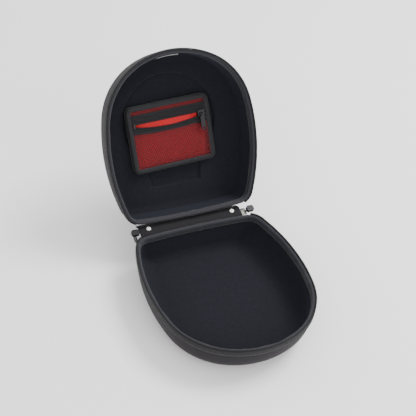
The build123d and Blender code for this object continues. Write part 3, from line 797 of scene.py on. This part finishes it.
def handle():
    xs = np.linspace(hx0, hx1, 120)
    f = np.clip((xs - (hx0 + 12)) / 26, 0, 1); g = np.clip(((hx1 - 12) - xs) / 26, 0, 1)
    k = (f * f * (3 - 2 * f)) * (g * g * (3 - 2 * g))
    mid = 1 + 0.06 * np.cos((xs - (hx0 + hx1) / 2) / (hx1 - hx0) * 2 * math.pi)
    yc = y0h + 1.2 + 17.4 * k * mid
    dx, dy = np.gradient(xs), np.gradient(yc)
    ln = np.hypot(dx, dy); nx, ny = -dy / ln, dx / ln
    ang = np.linspace(0, 2 * math.pi, 28, endpoint=False)
    rings = []
    hw, ht = 6.4, 1.12
    for a in ang:
        ca, sa = math.cos(a), math.sin(a)
        zz = hw * math.copysign(abs(ca) ** 0.35, ca); oo = ht * math.copysign(abs(sa) ** 0.6, sa)
        pinch = 1.0
        rings.append(np.c_[xs + nx * oo, yc + ny * oo, np.full(120, Z_C + zz)])
    rings = [place(SPINE, r) for r in rings]
    V, F, UV = loft(rings, False, False, False, np.concatenate([[0], np.cumsum(np.hypot(np.diff(xs), np.diff(yc)))]), np.linspace(0, 30, 29), close_rows=True)
    n, m_ = 120, 28
    F = list(F) + [tuple(i * n for i in range(m_)), tuple((m_ - 1 - i) * n + n - 1 for i in range(m_))]
    UV = np.vstack([UV, np.zeros((2 * m_, 2))])
    return fix_normals(new_object("handle_webbing", V, F, UV, True, M_WEB))


hb = handle()
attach(hb, "spine"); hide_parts("carry_handle")

# metal pieces keep their CAD shape
for node, mat in (("rivet_domes", M_BRIGHT), ("rivet_caps", M_BLACK), ("left_slider", M_BLACK), ("right_slider", M_BLACK), ("left_pull_tab", M_BLACK),
                  ("right_pull_tab", M_PULL), ("pocket_slider", M_BLACK), ("pocket_pull_tab", M_BLACK), ("pocket_zip_stop", M_BLACK)):
    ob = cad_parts[node]
    if ob.material_slots:
        for s in ob.material_slots:
            s.material = mat
    else:
        ob.data.materials.append(mat)


# ------------------------------------------------------------------ pocket
def rounded_rect(w, h, r, n_corner=14, step=2.2):
    """Closed loop counter-clockwise from the middle of the bottom edge, with outward normals."""
    P, N = [], []
    hw, hh = w / 2, h / 2
    def line(a, b, nr):
        a, b = np.array(a, float), np.array(b, float)
        k = max(2, int(np.linalg.norm(b - a) / step))
        for i in range(k):
            P.append(a + (b - a) * i / k); N.append(nr)
    def arc(cx, cy, a0):
        for i in range(n_corner):
            a = math.radians(a0 + 90 * i / n_corner)
            P.append((cx + r * math.cos(a), cy + r * math.sin(a))); N.append((math.cos(a), math.sin(a)))
    line((0, -hh), (hw - r, -hh), (0, -1)); arc(hw - r, -hh + r, -90)
    line((hw, -hh + r), (hw, hh - r), (1, 0)); arc(hw - r, hh - r, 0)
    line((hw - r, hh), (-hw + r, hh), (0, 1)); arc(-hw + r, hh - r, 90)
    line((-hw, hh - r), (-hw, -hh + r), (-1, 0)); arc(-hw + r, -hh + r, 180)
    line((-hw + r, -hh), (0, -hh), (0, -1))
    return np.array(P), np.array(N, float)


def piping():
    P, N = rounded_rect(POCKET_W, POCKET_H, POCKET_R)
    n = len(P)
    s = np.concatenate([[0], np.cumsum(np.linalg.norm(np.diff(np.vstack([P, P[:1]]), axis=0), axis=1))])
    low = smooth_noise_1d(n, 40, 51) * 0.12
    c = np.abs(N[:, 0] * N[:, 1]) * 2
    puck = c * 0.22 * np.sin(2 * math.pi * s[:-1] / 4.0)
    seam = np.where((P[:, 1] < 0) & (P[:, 0] > -6) & (P[:, 0] < 3), 0.35, 0.0)
    sec = [(0.35, 0.3), (0.05, 1.6), (-0.05, 3.4), (0.0, 5.2), (0.3, 6.9), (1.0, 8.1), (2.1, 8.75), (3.5, 8.9), (5.0, 8.75), (6.2, 8.35), (6.95, 7.8), (7.15, 7.2), (7.0, 6.4), (5.6, 6.0), (3.0, 5.2), (1.6, 3.0), (1.3, 0.3)]
    rings = []
    for i, (t, z) in enumerate(sec):
        d = low + puck + seam if i < 12 else low * 0
        # the corner of a rounded rectangle needs its inset limited
        tt = np.full(n, t)
        q = P - N * np.minimum(tt, POCKET_R - 1.5)[:, None]
        zz = z + d * (1.0 if z > 6 else 0.0)
        q = q + N * (d * (0.8 if z <= 6 else 0.0))[:, None]
        rings.append(place(POCKET, np.c_[q, np.full(n, 1.0) * zz]))
    sc = np.array(sec)
    vs = np.concatenate([[0], np.cumsum(np.linalg.norm(np.diff(np.vstack([sc, sc[:1]]), axis=0), axis=1))])
    V, F, UV = loft(rings, True, False, False, s, vs, close_rows=True)
    return fix_normals(new_object("pocket_piping_ribbon", V, F, UV, True, M_PIPE))


def grid_sheet(name, u, vlow, vtop, nz, zf, material, thick=0.35, nu=90, nv=40, body="lid", node=None):
    """Thin closed sheet between two edge curves; zf(u, v) is its height."""
    us = np.linspace(u[0], u[1], nu)
    rows = []
    for j in range(nv):
        f = j / (nv - 1)
        v = vlow(us) * (1 - f) + vtop(us) * f
        rows.append(np.c_[us, v, zf(us, v)])
    top = [place(POCKET, r) for r in rows]
    bot = [place(POCKET, r - np.array([0, 0, thick])) for r in rows]
    rings = top + bot[::-1]
    vv = np.array([np.mean(r[:, 1]) for r in rows])
    vs = np.concatenate([vv, vv[::-1], vv[:1]])
    V, F, UV = loft(rings, False, False, False, us, vs, close_rows=True)
    n, k = nu, len(rings)
    half = nv
    for side in (0, n - 1):
        for j in range(half - 1):
            a, b = j * n + side, (j + 1) * n + side
            c, d = (k - 2 - j) * n + side, (k - 1 - j) * n + side
            F.append((a, b, c, d)); UV = np.vstack([UV, np.zeros((4, 2))])
    ob = fix_normals(new_object(name, V, F, UV, True, material))
    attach(ob, body)
    if node:
        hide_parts(node)
    return ob


pip = piping()
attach(pip, "lid"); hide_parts("pocket_piping")

UH = 54.2
bow = lambda u, sag: -sag * (1 - (u / UH) ** 2)
top_edge = lambda u: (V_ZIP - 1.0) + bow(u, SAG)
low_edge = lambda u: (V_ZIP - TAPE_W) + bow(u, 3.0)


def z_panel(u, v):
    a = np.clip((UH - np.abs(u)) / 14, 0, 1); b = np.clip((v + 39.6) / 14, 0, 1)
    k = np.sqrt(a * (2 - a)) * np.sqrt(b * (2 - b))
    wr = 0.28 * np.sin((u * 0.8 + v * 1.1) / 6.0) + 0.2 * np.sin((u * 0.5 - v * 0.9) / 4.2 + 1.0)
    hump = 1.1 * np.exp(-(((u - 26) / 22) ** 2 + ((v + 14) / 15) ** 2)) + 0.6 * np.exp(-(((u + 18) / 16) ** 2 + ((v + 8) / 12) ** 2))
    return Z_MESH + 0.5 + k * (0.5 + hump + wr * 0.6)


def net_sheet(name, u0, u1, vlow, vtop, zf, node, pitch=3.3, rows=2.45, thick=0.42):
    """Knitted net: staggered eyes, each with its own rounded rim, in a thin closed sheet."""
    nx = int(round((u1 - u0) / pitch)); px = (u1 - u0) / nx
    ny = max(1, int(round((np.mean(vtop(np.zeros(1))) - np.mean(vlow(np.zeros(1)))) / rows)))
    K = 12
    ang = np.arange(K) * 2 * math.pi / K + math.pi / K
    # each cell is a brick; its edge is walked in K steps, its eye likewise
    def edge_pt(a):
        c, d = math.cos(a), math.sin(a)
        q = 0.5 / max(abs(c), abs(d))
        return c * q, d * q
    E = np.array([edge_pt(a) for a in ang]); I = np.c_[np.cos(ang) * 0.315, np.sin(ang) * 0.36]; M2 = E * 0.18 + I * 0.82
    # put the edge's steps on the cell's corners and middles so that neighbours share them
    snap = []
    for x, y in E:
        snap.append((round(x * 4) / 4 if abs(abs(y) - 0.5) < 1e-6 else x, round(y * 4) / 4 if abs(abs(x) - 0.5) < 1e-6 else y))
    ring = [(-0.5, -0.5), (-0.25, -0.5), (0.0, -0.5), (0.25, -0.5), (0.5, -0.5), (0.5, 0.0), (0.5, 0.5), (0.25, 0.5), (0.0, 0.5), (-0.25, 0.5), (-0.5, 0.5), (-0.5, 0.0)]
    V, F, UV, index = [], [], [], {}

    def vert(u, v, lift):
        # rows are staggered by half a cell; edges of the sheet stay straight
        f = v / ny
        uu = min(max(u, 0.0), nx) * px + u0
        lo, hi = vlow(np.array([uu]))[0], vtop(np.array([uu]))[0]
        vv = lo + (hi - lo) * f
        z = zf(np.array([uu]), np.array([vv]))[0] + lift
        key = (round(uu, 4), round(vv, 4), round(lift, 3))
        if key not in index:
            index[key] = len(V); V.append((uu, vv, z))
        return index[key]

    for r in range(ny):
        shift = 0.5 if r % 2 else 0.0
        n_c = nx + (1 if r % 2 else 0)
        for c in range(n_c):
            u_mid = c + 0.5 - shift
            left, right = max(u_mid - 0.5, 0.0), min(u_mid + 0.5, nx)
            wdt = right - left
            cx_, cy_ = (left + right) / 2, r + 0.5
            small = wdt < 0.9
            for layer, lift in ((0, 0.0), (1, -thick)):
                # small cells at the sides stay solid cloth
                outer = [(cx_ + x * wdt, cy_ + y) for x, y in ring]
                if small:
                    pts = [outer[0], outer[2], outer[4], outer[5], outer[6], outer[8], outer[10], outer[11]]
                    ids = [vert(p[0], p[1], lift) for p in pts]
                    cen = vert(cx_, cy_, lift)
                    for a in range(8):
                        f = (ids[a], ids[(a + 1) % 8], cen)
                        F.append(f if layer == 0 else f[::-1])
                else:
                    ids = [vert(p[0], p[1], lift) for p in (outer[0], outer[2], outer[4], outer[5], outer[6], outer[8], outer[10], outer[11])]
                    eye = []
                    for a in range(8):
                        t = math.atan2([-0.5, -0.5, -0.5, 0, 0.5, 0.5, 0.5, 0][a], [-0.5, 0, 0.5, 0.5, 0.5, 0, -0.5, -0.5][a])
                        eye.append(vert(cx_ + 0.40 * wdt * math.cos(t), cy_ + 0.41 * math.sin(t), lift * 0.85 - 0.03))
                    for a in range(8):
                        b = (a + 1) % 8
                        f = (ids[a], ids[b], eye[b], eye[a])
                        F.append(f if layer == 0 else f[::-1])
                    if layer == 0:
                        top_eye = eye
                    else:
                        for a in range(8):
                            b = (a + 1) % 8
                            F.append((top_eye[a], top_eye[b], eye[b], eye[a]))
    import collections
    # close the sheet's outer edge: every edge used once on the upper face is joined to the one under it
    use = collections.Counter()
    for f in F:
        for a, b in zip(f, f[1:] + f[:1]):
            use[frozenset((a, b))] += 1
    inv = {i: k for k, i in index.items()}
    loose = [tuple(e) for e, n_ in use.items() if n_ == 1]
    for a, b in loose:
        ka, kb = inv[a], inv[b]
        if ka[2] == 0.0 and kb[2] == 0.0:
            a2, b2 = index.get((ka[0], ka[1], round(-thick, 3))), index.get((kb[0], kb[1], round(-thick, 3)))
            if a2 is not None and b2 is not None:
                F.append((a, b, b2, a2))
    P = np.array(V)
    uv = [(P[i][0] * MM, P[i][1] * MM) for f in F for i in f]
    ob = fix_normals(new_object(name, place(POCKET, P), F, uv, True, M_NET))
    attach(ob, "lid"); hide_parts(node)
    return ob


panel = net_sheet("pocket_net_panel", -UH, UH, lambda u: np.full(len(u), -39.8), lambda u: low_edge(u) + 0.8, z_panel, "pocket_mesh_panel")
strip_top = net_sheet("pocket_net_strip", -UH, UH, lambda u: np.full(len(u), V_ZIP + TAPE_TOP - 0.8), lambda u: np.full(len(u), 39.8),
                      lambda u, v: Z_MESH + 0.45 + 0.25 * np.sin(u / 9.0) * np.clip((UH - np.abs(u)) / 8, 0, 1), "pocket_mesh_strip")


def z_tape(u, v, edge, lift):
    a = np.clip((UH - np.abs(u)) / 10, 0, 1)
    return Z_MESH + 1.0 + 0.22 * np.sin(u / 7.0 + v) * a + lift(u) + 0.25 * np.exp(-((v - edge(u)) / 1.2) ** 2)


t_low = grid_sheet("pocket_tape_low", (-UH, UH), low_edge, top_edge, 0, lambda u, v: z_tape(u, v, top_edge, lambda q: 0.9 * (1 - (q / UH) ** 2) * np.clip((v - low_edge(q)) / 10, 0, 1)), M_TAPE, 0.45, 110, 18, node="pocket_tape_lower")
t_up = grid_sheet("pocket_tape_up", (-UH, UH), lambda u: np.full(len(u), V_ZIP + 1.0), lambda u: np.full(len(u), V_ZIP + TAPE_TOP), 0, lambda u, v: z_tape(u, v, lambda q: np.full(len(q), V_ZIP + 1.0), lambda q: 0.0 * q), M_TAPE, 0.45, 110, 18, node="pocket_tape_upper")


def z_back(u, v):
    a = np.clip((57.6 - np.abs(u)) / 16, 0, 1)
    b = np.exp(-((v - 14.0) / 9.0) ** 2)
    return 0.95 + a * a * (3 - 2 * a) * np.clip((43.2 - np.abs(v)) / 12, 0, 1) * (0.3 * b + 3.4) + 0.25 * np.sin(u / 5.0 + v / 7.0) * a * b


backing = grid_sheet("pocket_red_backing", (-57.6, 57.6), lambda u: np.full(len(u), -43.2), lambda u: np.full(len(u), 43.2), 0, z_back, M_RED, 0.4, 120, 70, node="pocket_backing")


def pocket_coil(name, node, edge, sgn):
    us = np.arange(-50.0, 46.0, 1.5)
    z = Z_MESH + 1.75
    P = np.c_[us, edge(us), np.full(len(us), z)]
    d = np.gradient(P, axis=0); d /= np.linalg.norm(d, axis=1)[:, None]
    nrm = np.c_[-d[:, 1], d[:, 0], np.zeros(len(us))] * sgn
    Rm = POCKET[:3, :3]
    cen = place(POCKET, P)
    A = (d @ Rm.T) * MM; Bv = (nrm @ Rm.T) * MM; C = (np.tile([0, 0, 1.0], (len(us), 1)) @ Rm.T) * MM
    loop = [(-0.25, -0.66, -0.35), (-0.3, -0.28, 0.25), (-0.15, 0.28, 0.35), (0.05, 0.6, 0.0), (0.2, 0.28, -0.3), (0.28, -0.4, -0.4)]
    V, F, UV = batch_tubes(cen, A, Bv, C, loop, 0.27, 5)
    ob = new_object(name, V, F, UV, True, M_COIL)
    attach(ob, "lid"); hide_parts(node)


pocket_coil("pocket_coil_low_loops", "pocket_coil_lower", lambda u: top_edge(u) - 0.95, 1)
pocket_coil("pocket_coil_up_loops", "pocket_coil_upper", lambda u: np.full(len(u), V_ZIP + 1.95), -1)


def pocket_stitches():
    parts = []
    Rm = POCKET[:3, :3]
    P, N = rounded_rect(POCKET_W - 11.6, POCKET_H - 11.6, 4.0)
    s = np.concatenate([[0], np.cumsum(np.linalg.norm(np.diff(P, axis=0), axis=1))])
    q = np.arange(0, s[-1], 2.9)
    X = np.c_[np.interp(q, s, P[:, 0]), np.interp(q, s, P[:, 1]), np.full(len(q), 8.72)]
    d = np.gradient(X, axis=0); d /= np.linalg.norm(d, axis=1)[:, None]
    n = np.cross(d, [0, 0, 1.0])
    rows = [(X, d)]
    for v0, f in ((2.2, lambda u: np.full(len(u), V_ZIP + TAPE_TOP - 1.6)), (2.2, lambda u: low_edge(u) + 1.5)):
        us = np.arange(-52, 52, 2.9)
        Y = np.c_[us, f(us), np.full(len(us), Z_MESH + 1.25)]
        dd = np.gradient(Y, axis=0); dd /= np.linalg.norm(dd, axis=1)[:, None]
        rows.append((Y, dd))
    for X, d in rows:
        cen = place(POCKET, X)
        n = np.cross(np.tile([0, 0, 1.0], (len(X), 1)), d)
        A = (d @ Rm.T) * MM; Bv = (n @ Rm.T) * MM; C = (np.tile([0, 0, 1.0], (len(X), 1)) @ Rm.T) * MM
        parts.append(batch_tubes(cen, A, Bv, C, [(-1.05, 0, -0.25), (-0.75, 0, 0.02), (0, 0, 0.12), (0.75, 0, 0.02), (1.05, 0, -0.25)], [0.1, 0.18, 0.2, 0.18, 0.1], 6))
    V, F, UV = join_parts(parts)
    ob = new_object("pocket_stitching", V, F, UV, True, M_THREAD)
    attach(ob, "lid")


pocket_stitches()


# woven label, blank but for a plain woven band
def label():
    us = np.linspace(-15, 15, 40)
    rows = []
    for j in range(12):
        f = j / 11
        w = 3.2 + 11.0 * f
        t = 6.7 + 2.2 * f + 0.5 * math.sin(f * 3.0)
        x = -(-7.5) - us
        # follow the front of the rim at the label's place
        y = -L / 2 + t + (x ** 2) / (2 * 115.0)
        rows.append(np.c_[x, y, np.full(len(us), -w)])
    top = [place(LID, r) for r in rows]; bot = [place(LID, r + np.array([0, 0.45, 0.0])) for r in rows]
    rings = top + bot[::-1]
    vv = np.linspace(0, 11, 12)
    V, F, UV = loft(rings, False, False, False, us, np.concatenate([vv, vv[::-1], vv[:1]]), close_rows=True)
    n, k = 40, len(rings)
    for side in (0, n - 1):
        for j in range(11):
            a, b = j * n + side, (j + 1) * n + side
            c, d = (k - 2 - j) * n + side, (k - 1 - j) * n + side
            F.append((a, b, c, d)); UV = np.vstack([UV, np.zeros((4, 2))])
    ob = fix_normals(new_object("label_cloth", V, F, UV, True, M_LABEL))
    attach(ob, "lid"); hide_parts("woven_label")


label()

# ------------------------------------------------------------------ floor, light, camera
fm = Nodes("floor_paper")
fo = fm.coord("Object")
fm.l(fm.mix(fm.noise(fo, 3.0, 2.0), (0.93, 0.93, 0.93, 1), (0.95, 0.95, 0.95, 1)), fm.b.inputs["Base Color"])
fm.set(rough=0.9, spec=0.1)
floor = new_object("floor", [(-6, -6, 0), (6, -6, 0), (6, 6, 0), (-6, 6, 0)], [(0, 1, 2, 3)], None, False, fm.m)
floor.location.z = -0.0002

world = bpy.data.worlds.new("studio"); bpy.context.scene.world = world
world.use_nodes = True
bg = world.node_tree.nodes.get("Background") or world.node_tree.nodes.new("ShaderNodeBackground")
bg.inputs[0].default_value = (1, 1, 1, 1); bg.inputs[1].default_value = 1.35


def area(name, loc, target, size, power):
    l = bpy.data.lights.new(name, "AREA"); l.shape = "RECTANGLE"; l.size, l.size_y = size
    l.energy = power
    o = bpy.data.objects.new(name, l); bpy.context.scene.collection.objects.link(o)
    o.location = loc
    o.rotation_euler = (Vector(target) - Vector(loc)).to_track_quat("-Z", "Y").to_euler()
    return o


area("key", (1.1, 0.25, 1.7), (0, 0.1, 0.08), (0.9, 0.8), 40)
area("fill", (-1.3, -1.2, 1.2), (0, 0.05, 0.06), (1.4, 1.0), 7)
area("front", (0.3, -1.6, 1.1), (0, 0.1, 0.12), (1.2, 0.8), 10)

cam = bpy.data.cameras.new("camera"); co = bpy.data.objects.new("camera", cam)
bpy.context.scene.collection.objects.link(co)
AZ, EL, DIST, ROLL, F_PX = -29.38, 41.71, 1.28033, 8.60, 934.69
TGT = np.array([22.77, 13.17 + Y_BACK, 60.0]) * MM
a, e, r = map(math.radians, (AZ, EL, ROLL))
back = np.array([math.sin(a) * math.cos(e), -math.cos(a) * math.cos(e), math.sin(e)])
xx = np.cross([0, 0, 1.0], back); xx /= np.linalg.norm(xx); yy = np.cross(back, xx)
xr = math.cos(r) * xx + math.sin(r) * yy; yr = -math.sin(r) * xx + math.cos(r) * yy
mw = np.eye(4); mw[:3, 0], mw[:3, 1], mw[:3, 2], mw[:3, 3] = xr, yr, back, TGT + back * DIST
co.matrix_world = Matrix(mw.tolist())
cam.sensor_width = 36.0; cam.lens = F_PX / 416 * 36.0
cam.clip_start, cam.clip_end = 0.05, 30
bpy.context.scene.camera = co
